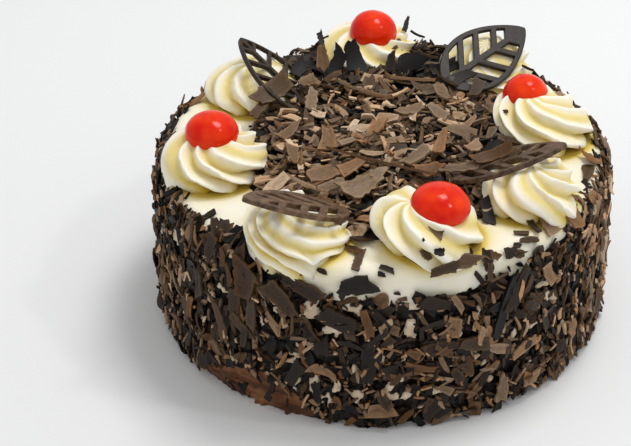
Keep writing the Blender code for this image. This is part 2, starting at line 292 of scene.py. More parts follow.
ROUND_COLUMNS = 640
WALL_ROWS, EDGE_ROWS, TOP_ROWS = 64, 10, 26
INNERMOST_RING = 20 * MM
wall_rows = np.linspace(0.0, STRAIGHT, WALL_ROWS)
edge_turns = np.radians(np.linspace(8, 90, EDGE_ROWS))
top_radii = np.linspace(WALL_RADIUS - EDGE_RADIUS - 1 * MM, INNERMOST_RING, TOP_ROWS)
edge_radii = WALL_RADIUS - EDGE_RADIUS * (1 - np.cos(edge_turns))
profile_radius = np.concatenate([over_wall(wall_rows)[0], edge_radii, top_radii])
profile_height = np.concatenate(
    [wall_rows, CAKE_HEIGHT - EDGE_RADIUS * (1 - np.sin(edge_turns)), 0 * top_radii + CAKE_HEIGHT]
)
profile_climb = np.concatenate(
    [wall_rows, STRAIGHT + EDGE_RADIUS * edge_turns, STRAIGHT + EDGE_ARC + top_radii[0] - top_radii]
)
turns = np.arange(ROUND_COLUMNS) * 2 * math.pi / ROUND_COLUMNS
radius, angle = np.meshgrid(profile_radius, turns, indexing="ij")
height = np.repeat(profile_height[:, None], ROUND_COLUMNS, 1)
points = cylinder(radius, angle, height).reshape(-1, 3)
outward = np.stack([np.cos(angle), np.sin(angle), 0 * angle], -1).reshape(-1, 3)
on_top = np.clip((height.ravel() - CAKE_HEIGHT + EDGE_RADIUS) / EDGE_RADIUS, 0, 1)[:, None]
around = angle.ravel()
climb = np.repeat(profile_climb, ROUND_COLUMNS)
crumbly = lumps(points, 2.4 * MM, 6)
covered = np.clip((coat_edge(around) - climb + (3.5 * crumbly - 2.5) * MM) / (2.5 * MM), 0, 1)
showing = np.clip(bare_cream(points) * 6, 0, 1)
brown = smeared(around, climb)
wiped = cylinder(radius.ravel(), 0.35 * around, 4 * height.ravel())
streaks = lumps(wiped, 6 * MM, 9)
# Chocolate dust and painted shade: near black wherever the shavings cover the wall, except where
# the cream shows or was smeared.
round_dust = covered * (1 - showing) * (1 - np.clip(1.6 * brown - 0.2, 0, 1))
round_rubbed = covered * (0.3 + 0.12 * crumbly + (0.42 + 0.35 * streaks) * brown)
push = 0.4 * MM * lumps(points, 22 * MM, 1) + 0.25 * MM * lumps(points, 7 * MM, 2)
push += 0.1 * MM * crumbly
push += covered * (1.9 * MM * showing + 0.8 * MM * crumbly + 1.6 * MM * brown)
points += push[:, None] * (outward * (1 - on_top) + np.array([0, 0, 1]) * on_top)
points[:, 2] = np.maximum(points[:, 2], 0)

# Painted shade: the cream is painted yellower in the crease round each rosette's foot, over a faint
# random yellow mottle all over.
crease = np.full(len(points), 1.0)
for number, (_, _, wide, _, _) in ROSETTES.items():
    apart = np.hypot(*(points[:, :2] - rosette_centre(number)).T) - 0.93 * wide * MM
    crease = np.minimum(crease, np.clip(apart, 0, 1))
round_fold = 0.7 * np.exp(-crease / (2.2 * MM)) * on_top[:, 0]
round_fold += 0.08 * (1 + lumps(points, 9 * MM, 3))
faces = ring_quads(len(profile_radius), ROUND_COLUMNS).tolist()
last = (len(profile_radius) - 1) * ROUND_COLUMNS
faces.append(list(range(last, last + ROUND_COLUMNS)))
faces.append(list(reversed(range(ROUND_COLUMNS))))
piece(
    "cream_round", points, faces, whipped_cream, "whipped_cream", ["cake"],
    fold=round_fold, dust=round_dust, rubbed=round_rubbed,
)


# THE SHAVINGS ON THE SIDE
# Flakes, slivers and crumbs scraped from a block of dark chocolate and pressed by hand into
# the cream, mostly upright, in two or three uneven layers with cream showing between.

# Dark couverture: cocoa mass and cocoa butter, scraped with a knife. The scraped faces are
# dull and finely grooved, from near black to tan where they are bruised, and warm brown where
# they are fresh. Each shaving's shade is its own tone with painted shade and light added, darker
# low in the layers and paler where light falls; warm is how brown it is, scrape its grain.
couverture = empty_material("dark_couverture")
tone = add(couverture, "Attribute", attribute_name="tone")
warm = add(couverture, "Attribute", attribute_name="warm")
scrape = add(couverture, "Attribute", attribute_name="scrape")
stretched = add(
    couverture,
    "Mapping",
    {"Vector": scrape.outputs["Vector"], "Scale": (0.3, 1.0, 1.0)},
)
grooves = add(
    couverture,
    "TexNoise",
    {"Vector": stretched.outputs["Vector"], "Scale": 1600.0, "Detail": 3.0, "Roughness": 0.65},
)
shade = add(
    couverture,
    "Math",
    {0: grooves.outputs["Fac"], 1: 0.3, 2: tone.outputs["Fac"]},
    operation="MULTIPLY_ADD",
)
bruised = add(
    couverture,
    "ValToRGB",
    {"Fac": shade.outputs["Value"]},
    stops=[(0.1, "0A0806"), (1.1, "D2B99C"), (0.33, "251C14"), (0.56, "564430"), (0.82, "9A8166")],
)
fresh = add(
    couverture,
    "ValToRGB",
    {"Fac": shade.outputs["Value"]},
    stops=[(0.1, "0C0704"), (1.1, "D6AC80"), (0.33, "2C1A0B"), (0.56, "60401F"), (0.82, "A4764C")],
)
chocolate_colour = add(
    couverture,
    "Mix",
    {0: warm.outputs["Fac"], 6: bruised.outputs["Color"], 7: fresh.outputs["Color"]},
    data_type="RGBA",
)
scraped = add(
    couverture,
    "Bump",
    {"Height": grooves.outputs["Fac"], "Strength": 0.45, "Distance": 0.25 * MM},
)
chocolate_shader = add(
    couverture,
    "BsdfPrincipled",
    {
        "Base Color": chocolate_colour.outputs[2],
        "Roughness": 0.55,
        "IOR": 1.46,
        "Specular IOR Level": 0.3,
        "Normal": scraped.outputs["Normal"],
    },
)
add(couverture, "OutputMaterial", {"Surface": chocolate_shader.outputs["BSDF"]})


def slab_quads(steps, strips):
    """Faces of one thin slab whose upper and lower points lie on a grid."""
    count = (steps + 1) * (strips + 1)
    spot = np.arange(count).reshape(steps + 1, strips + 1)
    upper = np.stack([spot[:-1, :-1], spot[1:, :-1], spot[1:, 1:], spot[:-1, 1:]], -1)
    rim = np.concatenate([spot[:, 0][::-1], spot[0, 1:], spot[1:, -1], spot[-1, -2:0:-1]])
    rim_next = np.roll(rim, -1)
    sides = np.stack([rim, rim + count, rim_next + count, rim_next], -1)
    upper = upper.reshape(-1, 4)
    return np.concatenate([upper, upper[:, ::-1] + count, sides])


def rotate_about(vectors, axes, angles):
    """Each vector turned about its own unit axis."""
    cos, sin = np.cos(angles)[:, None], np.sin(angles)[:, None]
    dot = (vectors * axes).sum(1, keepdims=True)
    return vectors * cos + np.cross(axes, vectors) * sin + axes * dot * (1 - cos)


def settle(rng, along, outward, tilt, lift):
    """Tips each shaving about its length and its width by random angles, in degrees."""
    outward = rotate_about(outward, along, rng.normal(0, math.radians(tilt), len(along)))
    across = np.cross(outward, along)
    turn = rng.normal(0, math.radians(lift), len(along))
    return rotate_about(along, across, turn), rotate_about(outward, across, turn)


def shavings(name, rng, centre, along, outward, size, tone, warmth, ragged, steps, strips, limit):
    """One piece of joined shavings: thin, slightly rolled slabs with slanting, torn ends.
    size holds length, width, thickness and roll; limit keeps the points where they may be."""
    length, width, thickness, roll = (part[:, None, None] for part in size)
    count = len(centre)
    one = (count, 1, 1)
    across = np.cross(outward, along)
    u = np.linspace(-1, 1, steps + 1)[None, :, None] + np.zeros((count, 1, strips + 1))
    v = np.linspace(-1, 1, strips + 1)[None, None, :] + np.zeros((count, steps + 1, 1))
    rim = np.maximum(np.abs(u), np.abs(v)) > 0.99
    tear = rng.uniform(*ragged, one)
    slant = rng.uniform(-0.5, 0.5, one) + rng.uniform(-0.5, 0.5, one) * np.sign(u)
    stub = np.minimum(1, width / length)
    taper = 1 - rng.uniform(-0.35, 0.35, one) * u - rng.uniform(0, 0.35, one) * u**2
    u = u + (np.abs(u) > 0.99) * (slant * stub * v + 0.3 * tear * rng.uniform(-1, 1, u.shape))
    uneven = 1 + 0.4 * rng.uniform(-1, 1, u.shape) * tear
    sideways = v * width / 2 * taper * uneven + rng.normal(0, 0.03, one) * length * u**2
    forward = length / 2 * np.sin(roll * u) / roll
    rise = length / 2 * (1 - np.cos(roll * u)) / roll
    rise = rise - rise.mean((1, 2), keepdims=True) + width * rng.uniform(-0.08, 0.14, one) * v**2
    middle = centre[:, None, None] + sum(
        part[..., None] * way[:, None, None]
        for part, way in ((forward, along), (sideways, across), (rise, outward))
    )
    half = thickness[..., None] / 2 * outward[:, None, None]
    points = limit(np.stack([middle + half, middle - half], 1).reshape(-1, 3))
    shift = rng.uniform(0, 1, one)
    grain = np.stack([forward + shift, sideways + shift, 0 * u + shift], -1)
    both = np.ones((1, 2, 1, 1))
    shades = (tone[:, None, None] + 0.1 * rim)[:, None] * both
    warmth = np.clip(rng.normal(warmth, 0.35, one), 0, 1)[:, None] * both + 0 * u[:, None]
    per_slab = 2 * (steps + 1) * (strips + 1)
    faces = slab_quads(steps, strips)[None] + np.arange(count)[:, None, None] * per_slab
    return piece(
        name, points, faces.reshape(-1, 4), couverture, "dark_chocolate", sharp=35,
        tone=shades.ravel(), warm=warmth.ravel(), scrape=np.stack([grain, grain], 1).reshape(-1, 3),
    )


COAT_LIMIT = 99.7 * MM
LOWEST_SHAVING = 0.3 * MM


def keep_in_reach(points):
    """The shavings were pressed in with a flat hand, so none stands out past the rest."""
    reach = np.hypot(points[:, 0], points[:, 1])
    points[:, :2] *= np.minimum(1, COAT_LIMIT / reach)[:, None]
    return points


def keep_on_side(points):
    points = keep_in_reach(points)
    points[:, 2] = np.maximum(points[:, 2], LOWEST_SHAVING)
    return points


def on_wall(angle, climb, depth):
    """Places on the side: the centre at a depth of coat, the way out and the way up it."""
    radius, z, turn = over_wall(climb)
    radial = np.stack([np.cos(angle), np.sin(angle), 0 * angle], -1)
    up = np.array([0, 0, 1.0]) + 0 * radial
    outward = radial * np.cos(turn)[:, None] + up * np.sin(turn)[:, None]
    climbing = up * np.cos(turn)[:, None] - radial * np.sin(turn)[:, None]
    return cylinder(radius, angle, z) + outward * depth[:, None], outward, climbing


def random_sizes(rng, n, lengths, widths):
    """Lengths, widths, thicknesses and rolls, with more small shavings than large ones."""
    length = (lengths[0] + (lengths[1] - lengths[0]) * rng.uniform(0, 1, n) ** 1.6) * MM
    width = (widths[0] + (widths[1] - widths[0]) * rng.uniform(0, 1, n) ** 1.4) * MM
    thickness = rng.uniform(0.5, 0.9, n) * MM
    return length, width, thickness, rng.uniform(0.05, 0.5, n) * rng.choice([-1, 1], n)


# Where the cream shows or was smeared, only some of the shavings stuck: these shares of the
# crumbs, of the longer ones, and of any in the smear.
CRUMBS_ON_CREAM = 0.22
FLAKES_ON_CREAM = 0.06
LEFT_IN_SMEAR = 0.12
LONGEST_CRUMB = 5
BARE_ENOUGH = 0.12


def side_shavings(name, seed, count, lengths, widths, tilt, tones, ragged, steps, strips):
    rng = np.random.default_rng(seed)
    many = count * 3
    angle = rng.uniform(0, 2 * math.pi, many)
    climb = rng.uniform(1 * MM, 92 * MM, many)
    edge = coat_edge(angle)
    frontal = np.clip(1 - np.abs(np.degrees(angle) - 278) / 45, 0, 1)
    spread = np.radians(24 + 50 * frontal + 40 * np.clip(1 - (edge - climb) / (8 * MM), 0, 1))
    lie = rng.normal(0, 1, many) * spread
    size = np.array(random_sizes(rng, many, lengths, widths))
    bare = np.full(many, -9.0)
    for end in (-0.4, 0, 0.4):
        turned = angle + end * size[0] * np.sin(lie) / WALL_RADIUS
        spots = on_wall(turned, climb + end * size[0] * np.cos(lie), 0 * angle)[0]
        bare = np.maximum(bare, bare_cream(spots))
    chance = rng.uniform(0, 1, many)
    fits = climb < edge + rng.uniform(-5, 1.5, many) * MM
    sticking = CRUMBS_ON_CREAM if lengths[1] < LONGEST_CRUMB else FLAKES_ON_CREAM
    fits &= (bare < BARE_ENOUGH) | (chance < sticking)
    fits &= (smeared(angle, climb) < 0.5) | (chance < LEFT_IN_SMEAR)
    angle, climb, edge, lie = (values[fits][:count] for values in (angle, climb, edge, lie))
    size = size[:, fits][:, :count]
    n = len(angle)
    level = rng.uniform(0, 1, n)
    depth = (0.3 + 3.6 * level * np.clip((edge - climb) / (10 * MM), 0.15, 1)) * MM
    centre, outward, climbing = on_wall(angle, climb, depth)
    round_it = np.stack([-np.sin(angle), np.cos(angle), 0 * angle], -1)
    along = climbing * np.cos(lie)[:, None] + round_it * np.sin(lie)[:, None]
    along, outward = settle(rng, along, outward, tilt, 7)
    # Painted shade: the lower layers are set darker, as if shaded by the shavings over them.
    shades = rng.uniform(*tones, n) - 0.45 * (1 - level) ** 1.5
    # Painted light and shade: they are paler towards the right, where the light falls, and dark at
    # the foot in front, from grease and painted shadow.
    degrees = np.degrees(angle)
    shades += 0.22 * np.clip(1 - np.abs((degrees - 350 + 180) % 360 - 180) / 38, 0, 1)
    greasy_and_shadowed = np.clip(1 - np.abs(degrees - 266) / 22, 0, 1) * np.clip(1 - climb / (9 * MM), 0, 1)
    shades -= 0.6 * greasy_and_shadowed
    return shavings(
        name, rng, centre, along, outward, size, shades, 0.5, ragged, steps, strips, keep_on_side,
    )


# Seed, number, lengths and widths in mm, tilt in degrees, shades, raggedness, and how many
# steps long and strips wide each slab is.
flakes = side_shavings(
    "side_flakes", 1, 900, (6, 15), (2.4, 6.5), 14, (-0.05, 0.55), (0.1, 0.5), 4, 2
)
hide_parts("side_shavings")
side_shavings("side_slivers", 2, 1900, (4, 12), (0.8, 2.4), 28, (-0.05, 0.7), (0.1, 0.5), 3, 1)
side_shavings("side_crumbs", 3, 3600, (1.4, 4.4), (0.8, 2.6), 45, (-0.1, 0.75), (0.2, 0.8), 1, 1)

# The larger shavings at the front: direction in degrees, distance up the wall, length, width,
# lie from upright towards the right-hand neighbour, and shade.
LARGE_SIDE = [
    (237, 62, 17, 10, 8, 0.35), (233, 50, 14, 6, 5, 0.30), (246, 59, 17, 7, -43, 0.36),
    (251, 65, 19, 6, -68, 0.30), (264, 69, 14, 8, 76, 0.18), (260, 53, 15, 8, -68, 0.22),
    (228, 37, 19, 4.5, -20, 0.42), (235, 39, 13, 4.5, -48, 0.40), (238, 49, 17, 4, 6, 0.40),
    (267, 34, 20, 6, 0, 0.10), (304, 58, 19, 5, 26, 0.26), (300, 52, 30, 4, 18, -0.05),
    (284, 39, 14, 6, 83, 0.30), (292, 38, 13, 6, -75, 0.38), (287, 48, 9, 6, 4, 0.62),
    (294, 41, 8, 3, 6, 0.75), (296, 40, 10, 3, 3, 0.70), (300, 12, 13, 5, 6, 0.62),
    (309, 9, 8, 5, 85, 0.70), (306, 28, 13, 4, 68, 0.72), (289, 76, 12, 7, 80, 0.12),
    (296, 73, 9, 4, 5, 0.30), (303, 73, 6, 4, -80, 0.24), (317, 75, 7, 7, 8, 0.66),
    (325, 73, 9, 8, 6, 0.62), (331, 62, 12, 7, -40, 0.80), (214, 28, 16, 4, -12, 0.35),
    (221, 52, 20, 4, -6, 0.36), (226, 70, 12, 5, 10, 0.30), (218, 70, 12, 4, -8, 0.34),
]


def large_side_shavings():
    rng = np.random.default_rng(4)
    direction, climb, length, width, lie, shades = np.array(LARGE_SIDE).T
    angle = np.radians(direction)
    depth = 3.6 * MM * np.clip((coat_edge(angle) - climb * MM) / (8 * MM), 0.42, 1)
    centre, outward, climbing = on_wall(angle, climb * MM, depth)
    round_it = np.stack([-np.sin(angle), np.cos(angle), 0 * angle], -1)
    lie = np.radians(lie)
    along = climbing * np.cos(lie)[:, None] + round_it * np.sin(lie)[:, None]
    along, outward = settle(rng, along, outward, 5, 2)
    n = len(angle)
    size = length * MM, width * MM, rng.uniform(0.8, 1.2, n) * MM, rng.uniform(0.05, 0.15, n)
    shavings(
        "large_side_flakes", rng, centre, along, outward, size, shades - 0.13, 0.5, (0.2, 0.5),
        9, 4, keep_on_side,
    )


large_side_shavings()


# THE ROSETTES
# Eight rosettes of whipped cream piped through a closed star tube while turning it: sharp
# ridges with wide hollows between wind out from the peak and end in bulbs at the foot.

# How each was piped: ridges, radians that they wind for each radian that the dome bends, depth
# of the hollows as a share of the radius, how pointed it is, and how far its peak leans, in mm.
PIPING = {
    1: (9, 0.90, 0.155, 0.75, (0, 0)),
    2: (10, 1.30, 0.10, 0.70, (-7, 3)),
    3: (7, 0.60, 0.14, 0.72, (-9, -1)),
    4: (9, 0.85, 0.15, 0.75, (0, 0)),
    5: (8, 1.00, 0.155, 0.75, (-8, 1.5)),
    6: (9, 0.95, 0.15, 0.75, (0, 0)),
    7: (9, 0.95, 0.10, 0.60, (3, -1)),
    8: (8, 0.70, 0.13, 0.95, (3, 1)),
}
FOOT_ANGLE = math.radians(-38)
PEAK_ANGLE = math.radians(89.9)
LEAN_CURVE = 1.3
ROSETTE_SINK = 0.4 * MM
ROSETTE_ROWS = 60
ROSETTE_COLUMNS = 264

# The leaves that lie on rosettes 2, 4, 6 and 8 have pressed the cream flat under them:
# centre, direction of the tip, its rise, and the roll about its midrib, in degrees.
LEAVES = {
    2: ((-33.4, -71.0, 90.8), 213.0, 25.0, 6.0),
    4: ((50.4, -37.4, 90.0), -7.0, 21.9, -10.5),
    6: ((45.3, 49.4, 91.2), 43.0, 10.0, 31.0),
    8: ((-44.2, 33.4, 89.0), 141.7, 27.5, 13.4),
}
LEAF_LENGTH = 51.0 * MM
LEAF_WIDTH = 28.5 * MM
LEAF_THICKNESS = 2.2 * MM
LEAF_RIM = 2.4 * MM
LEAF_MIDRIB = 2.8 * MM
LEAF_VEIN = 2.6 * MM
LEAF_VEIN_ANGLE = math.radians(50)
# Where each side vein leaves the midrib, in mm from the base; the last bounds the closed tip.
LEAF_VEIN_STARTS = {
    2: (2.0, 11.0, 20.5, 31.5, 40.0), 4: (2.0, 11.0, 20.5, 31.5, 40.0),
    6: (2.0, 11.0, 20.5, 31.5, 40.0), 8: (2.0, 11.5, 21.5, 32.0, 42.0, 47.5),
}
LEAF_PAINTED_LIGHT = {2: 0.28, 4: 0.2, 6: -0.12, 8: 0.0}  # painted light and sheen: how much paler each leaf is drawn, darker below zero
LEAF_BLUNTNESS = 0.80
LEAF_FULLNESS = 0.72
LEAF_STOUTNESS = {2: 1.25, 4: 1.0, 6: 1.05, 8: 0.68}  # of its rim, midrib and veins


def leaf_half_width(along):
    part = min(1, max(0, along / LEAF_LENGTH))
    if part in (0, 1):
        return 0.0
    return LEAF_WIDTH / 2 * math.sin(math.pi * part**LEAF_BLUNTNESS) ** LEAF_FULLNESS


def leaf_place(number):
    """Turns a leaf lying flat at the origin, tip towards +X, to its place on the cake."""
    centre, degrees, rise, roll = LEAVES[number]
    turned = Matrix.Translation(Vector(centre) * MM)
    for amount, axis in ((degrees, "Z"), (-rise, "Y"), (roll, "X")):
        turned = turned @ Matrix.Rotation(math.radians(amount), 4, axis)
    return turned @ Matrix.Translation((-LEAF_LENGTH / 2, 0, 0))


def pressed(points, number):
    """Points under a leaf, moved down along the leaf's upright to lie behind its back."""
    there = np.array(leaf_place(number))
    local = (points - there[:3, 3]) @ there[:3, :3]
    half = np.array([leaf_half_width(x) for x in local[:, 0]])
    depth = LEAF_THICKNESS / 2 + 0.3 * MM
    inside = np.clip((half + 2.5 * MM - np.abs(local[:, 1])) / (2.5 * MM), 0, 1)
    inside = inside * np.clip((local[:, 0] + 4 * MM) / (3 * MM), 0, 1)
    inside = inside * np.clip((LEAF_LENGTH + 2 * MM - local[:, 0]) / (2 * MM), 0, 1)
    above = np.maximum(0, local[:, 2] + depth)
    local[:, 2] -= above * inside
    return local @ there[:3, :3].T + there[:3, 3]


def make_rosette(number):
    degrees, distance, wide, tall, first = ROSETTES[number]
    ridges, winding, hollow, pointed, shift = PIPING[number]
    rng = np.random.default_rng(40 + number)
    share = np.linspace(0, 1, ROSETTE_ROWS)
    bend = FOOT_ANGLE + (PEAK_ANGLE - FOOT_ANGLE) * share
    low = math.sin(FOOT_ANGLE)
    r = wide * MM * np.cos(bend) ** pointed
    z = tall * MM * (np.sin(bend) - low) / (1 - low)
    slope = np.stack([np.gradient(z), -np.gradient(r)], -1)
    slope /= np.linalg.norm(slope, axis=1, keepdims=True)
    around = np.arange(ROSETTE_COLUMNS) * 2 * math.pi / ROSETTE_COLUMNS
    warp = sum(
        rng.uniform(-0.2, 0.2) * np.sin(k * around + rng.uniform(0, 6)) / k for k in (1, 2, 3)
    )
    phase = ridges / 2 * (around + warp)
    flute = (1.03 - np.sqrt(np.sin(phase) ** 2 + 0.06)) / 0.785
    bulb = np.abs(np.cos(phase)) ** 0.8
    bulging = np.clip((0.25 - bend) / 0.7, 0, 1)[:, None]
    crest = np.clip(flute * (1 - bulging) + bulb * bulging, 0, 1)
    strength = 1 + 0.28 * sum(np.sin(k * around + rng.uniform(0, 6)) for k in (2, 3, 5))
    depth = hollow * wide * MM * np.clip(r / (wide * MM) / 0.5 - 0.4, 0, 1)
    depth = depth * (1 + 0.6 * bulging[:, 0])
    cut = depth[:, None] * (1 - crest) * strength[None]
    rr = np.maximum(0.05 * MM, r[:, None] - cut * slope[:, :1])
    zz = z[:, None] - cut * slope[:, 1:]
    turn = -winding * (bend - FOOT_ANGLE)
    aa = around[None] + turn[:, None] + math.radians(first)
    points = cylinder(rr, aa, 0 * rr).reshape(-1, 3)
    points[:, 2] = zz.ravel()
    ripple = 0.8 * lumps(points, 9 * MM, number) + 0.22 * lumps(points, 2.6 * MM, number + 20)
    points += ripple[:, None] * MM * np.array([1, 1, 0.5])
    lean = np.array(shift) * MM
    high = np.clip(points[:, 2:] / (tall * MM), 0, 1) ** LEAN_CURVE
    points[:, :2] += rosette_centre(number) + lean * high
    fall = top_height(np.hypot(points[:, 0], points[:, 1])) - CAKE_HEIGHT
    low_part = np.clip(1 - points[:, 2] / (tall * MM), 0, 1) ** 2
    points[:, 2] += CAKE_HEIGHT - ROSETTE_SINK + 1.6 * fall * low_part
    if number in LEAVES:
        points = pressed(points, number)
    # Painted shade: the cream is painted yellower in the hollows between the ridges, more so low
    # down, and round the foot.
    foot = np.clip(1 - z / (3.2 * MM), 0, 1)[:, None]
    hollow_shade = (1 - crest) ** 1.2 * (0.55 + 0.5 * np.clip(1 - z / (9 * MM), 0, 1))[:, None]
    fold = np.clip(hollow_shade + 0.45 * foot, 0, 1).ravel()
    faces = ring_quads(ROSETTE_ROWS, ROSETTE_COLUMNS).tolist()
    faces.append(list(range(len(points) - ROSETTE_COLUMNS, len(points))))
    piece(
        f"piped_rosette_{number}", points, faces, whipped_cream, "whipped_cream",
        [f"rosette_{number}"], fold=fold, dust=0 * fold, rubbed=0 * fold,
    )


for number in ROSETTES:
    make_rosette(number)


# THE HEAP OF SHAVINGS
# Loose shavings tipped inside the ring of rosettes, about 10 mm deep, run out between them
# and banked up against the rear one. They are painted paler than those on the side, as painted
# light on a top lit from above, and the core under them is painted near black, as painted shade
# in the gaps between them.

HEAP_HEIGHT = 10.5 * MM
HEAP_DRIFT = 3.0 * MM
HEAP_MIDDLE = 46 * MM
# How far it runs out between each rosette and the next, in mm from the axis.
HEAP_REACH = {1: 64, 2: 72, 3: 70, 4: 60, 5: 62, 6: 84, 7: 82, 8: 57}


def heap_outline(angle):
    """How far the heap reaches in each direction, stopping inside each rosette's foot."""
    degrees = np.degrees(angle) % 360
    reach = np.zeros(len(angle))
    nearest = np.full(len(angle), 999.0)
    for number, (direction, *_) in ROSETTES.items():
        past = (degrees - direction) % 360
        reach = np.where(past < nearest, HEAP_REACH[number] * MM, reach)
        nearest = np.minimum(nearest, past)
    for number, (_, _, wide, _, _) in ROSETTES.items():
        centre = rosette_centre(number)
        along = centre[0] * np.cos(angle) + centre[1] * np.sin(angle)
        across = (centre**2).sum() - along**2
        keep = (0.86 * wide * MM) ** 2
        hits = (along > 0) & (across < keep)
        foot = along - np.sqrt(np.maximum(0, keep - across))
        reach = np.where(hits, np.minimum(reach, foot), reach)
    return reach


def heap_height(radius, angle, outline):
    """Depth of the heap at a place: domed, higher at the rear, and thin at its rim."""
    full = HEAP_HEIGHT * (1 - 0.5 * np.clip(radius / (57 * MM), 0, 1) ** 3)
    rear = np.clip(np.sin(angle), 0, 1) ** 4
    full = full + HEAP_DRIFT * rear * np.clip(radius / HEAP_MIDDLE, 0, 1) ** 2
    return full * np.clip((outline + 1 * MM - radius) / (7 * MM), 0, 1) ** 0.5


HEAP_COLUMNS = 240
HEAP_ROWS = 60
heap_turns = np.arange(HEAP_COLUMNS) * 2 * math.pi / HEAP_COLUMNS
rim = heap_outline(heap_turns)
share = np.linspace(1, 0.01, HEAP_ROWS)[:, None]
radius = share * (HEAP_MIDDLE + (rim[None] - HEAP_MIDDLE) * share**2)
angle = heap_turns[None] + 0 * radius
height = heap_height(radius, angle, rim[None] + 0 * radius) - 2.6 * MM
points = cylinder(radius, angle, 0 * radius).reshape(-1, 3)
rough = 1.4 * MM * lumps(points, 5 * MM, 7) + 1.0 * MM * lumps(points, 1.8 * MM, 8)
points[:, 2] = CAKE_HEIGHT + np.maximum(height.ravel() + rough, -0.5 * MM)
# The core's tone is set near black: painted shade in the gaps between the shavings laid over it.
piece(
    "heap_core", points, ring_quads(HEAP_ROWS, HEAP_COLUMNS), couverture, "dark_chocolate",
    ["top_shavings"], tone=0 * rough - 0.1, warm=0 * rough, scrape=points,
)


def keep_on_top(points):
    points[:, 2] = np.maximum(points[:, 2], CAKE_HEIGHT)
    return points


def heap_shavings(name, seed, count, lengths, widths, tilt, tones, ragged, steps, strips):
    rng = np.random.default_rng(seed)
    angle = rng.uniform(0, 2 * math.pi, count * 3)
    outline = heap_outline(angle)
    radius = 88 * MM * np.sqrt(rng.uniform(0, 1, count * 3))
    fits = radius < outline + rng.uniform(-2, 1.5, count * 3) * MM
    angle, outline, radius = (values[fits][:count] for values in (angle, outline, radius))
    n = len(angle)
    level = rng.uniform(0, 1, n)
    z = CAKE_HEIGHT + heap_height(radius, angle, outline) + (3.4 * level - 2.6) * MM
    heading = rng.uniform(0, 2 * math.pi, n)
    along = np.stack([np.cos(heading), np.sin(heading), 0 * heading], -1)
    along, outward = settle(rng, along, np.array([0, 0, 1.0]) + 0 * along, tilt, 10)
    # Painted shade: the lower layers are set darker, as if shaded by the shavings over them; they
    # are also darker towards the rear and the right.
    shades = rng.uniform(*tones, n) - 0.5 * (1 - level) ** 1.5
    shades -= 0.3 * np.clip((radius * np.sin(angle) - 34 * MM) / (10 * MM), 0, 1)
    shades -= 0.15 * np.clip((radius * np.cos(angle) - 30 * MM) / (15 * MM), 0, 1)
    shavings(
        name, rng, cylinder(radius, angle, z), along, outward,
        random_sizes(rng, n, lengths, widths), shades, 0.25, ragged, steps, strips, keep_on_top,
    )


heap_shavings("heap_flakes", 11, 420, (5, 13), (2.4, 5.5), 24, (0.25, 0.8), (0.2, 0.7), 4, 2)
heap_shavings("heap_slivers", 12, 720, (4, 12), (0.9, 2.4), 40, (0.2, 0.85), (0.1, 0.5), 3, 1)
heap_shavings("heap_crumbs", 13, 650, (1.4, 4.2), (0.8, 2.2), 45, (0.1, 0.85), (0.2, 0.8), 1, 1)

